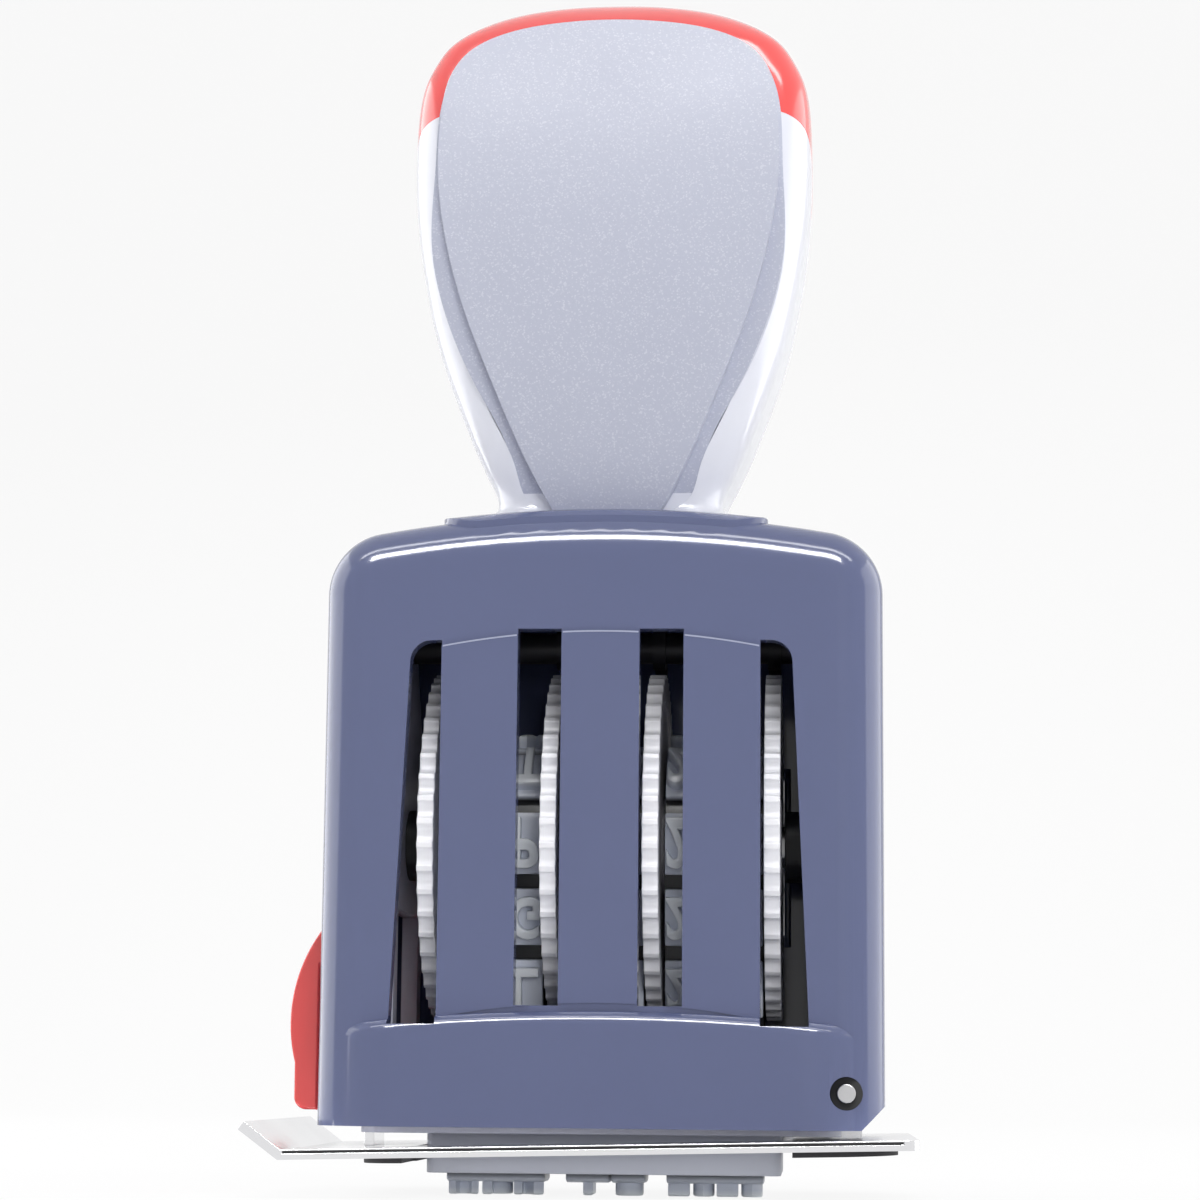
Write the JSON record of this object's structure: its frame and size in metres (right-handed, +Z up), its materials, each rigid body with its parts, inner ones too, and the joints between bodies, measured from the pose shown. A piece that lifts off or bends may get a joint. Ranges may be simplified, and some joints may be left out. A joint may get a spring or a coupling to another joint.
{
  "type": "hand date stamp",
  "caption": "Hand date stamp: grip handle on a slotted housing, thumb wheels drive rubber date bands over an anvil, and a hinged steel text plate is freed by a side lever.",
  "frame": {"origin": "the middle of the printed line, on the plane of the raised characters that are printed with", "axes": "+Z up along the handle, +X to the right towards the text plate's hinge, -Y to the front that the picture shows"},
  "size_m": [0.0613, 0.0372, 0.1168],
  "materials": {
    "white_plastic": "satin moulded plastic",
    "band_rubber": "matt vulcanised rubber",
    "steel": "bright drawn steel",
    "plate_steel": "bright rolled steel sheet",
    "black_plastic": "fine matt moulded plastic",
    "cushion_rubber": "matt adhesive rubber foam",
    "housing_plastic": "satin moulded plastic",
    "guide_plastic": "matt moulded plastic",
    "coral_plastic": "glossy moulded plastic",
    "handle_plastic": "glossy moulded plastic",
    "insert_plastic": "matt plastic with a fine metallic fleck"
  },
  "bodies": {
    "stamp_frame": {"housing": "housing_plastic", "chassis": "black_plastic", "chassis_screws": "steel", "tie_bar": "steel", "detent_springs": "steel", "anvil": "black_plastic", "band_guide": "guide_plastic", "wheel_axle": "steel", "axle_clips": "steel", "axle_end_spacers": "black_plastic", "month_band": "band_rubber", "day_tens_band": "band_rubber", "day_units_band": "band_rubber", "year_band": "band_rubber", "plate_hinge_pin": "steel", "lever_pin": "steel", "lever_spring": "steel", "handle_core": "handle_plastic", "handle_cap": "coral_plastic", "handle_front_insert": "insert_plastic", "handle_rear_insert": "insert_plastic", "handle_screw": "steel"},
    "month_wheel": {"month_wheel": "white_plastic"},
    "day_tens_wheel": {"day_tens_wheel": "white_plastic"},
    "day_units_wheel": {"day_units_wheel": "white_plastic"},
    "year_wheel": {"year_wheel": "white_plastic"},
    "release_lever": {"release_lever": "coral_plastic"},
    "text_plate": {"text_plate": "plate_steel", "die_cushion": "cushion_rubber"}
  },
  "joints": [
    {"name": "month_turn", "type": "hinge", "parent": "stamp_frame", "child": "month_wheel", "pos_m": [0, 0, 0.0331], "axis": [1, 0, 0], "continuous": true},
    {"name": "day_tens_turn", "type": "hinge", "parent": "stamp_frame", "child": "day_tens_wheel", "pos_m": [0, 0, 0.0331], "axis": [1, 0, 0], "continuous": true},
    {"name": "day_units_turn", "type": "hinge", "parent": "stamp_frame", "child": "day_units_wheel", "pos_m": [0, 0, 0.0331], "axis": [1, 0, 0], "continuous": true},
    {"name": "year_turn", "type": "hinge", "parent": "stamp_frame", "child": "year_wheel", "pos_m": [0, 0, 0.0331], "axis": [1, 0, 0], "continuous": true},
    {"name": "release_press", "type": "hinge", "parent": "stamp_frame", "child": "release_lever", "pos_m": [-0.0237, 0, 0.0246], "axis": [0, -1, 0], "range_deg": [0, 5], "stiffness_Nm_per_rad": 0.05},
    {"name": "plate_swing", "type": "hinge", "parent": "stamp_frame", "child": "text_plate", "pos_m": [0.02245, 0, 0.0098], "axis": [0, -1, 0], "range_deg": [-1.4, 80]}
  ]
}
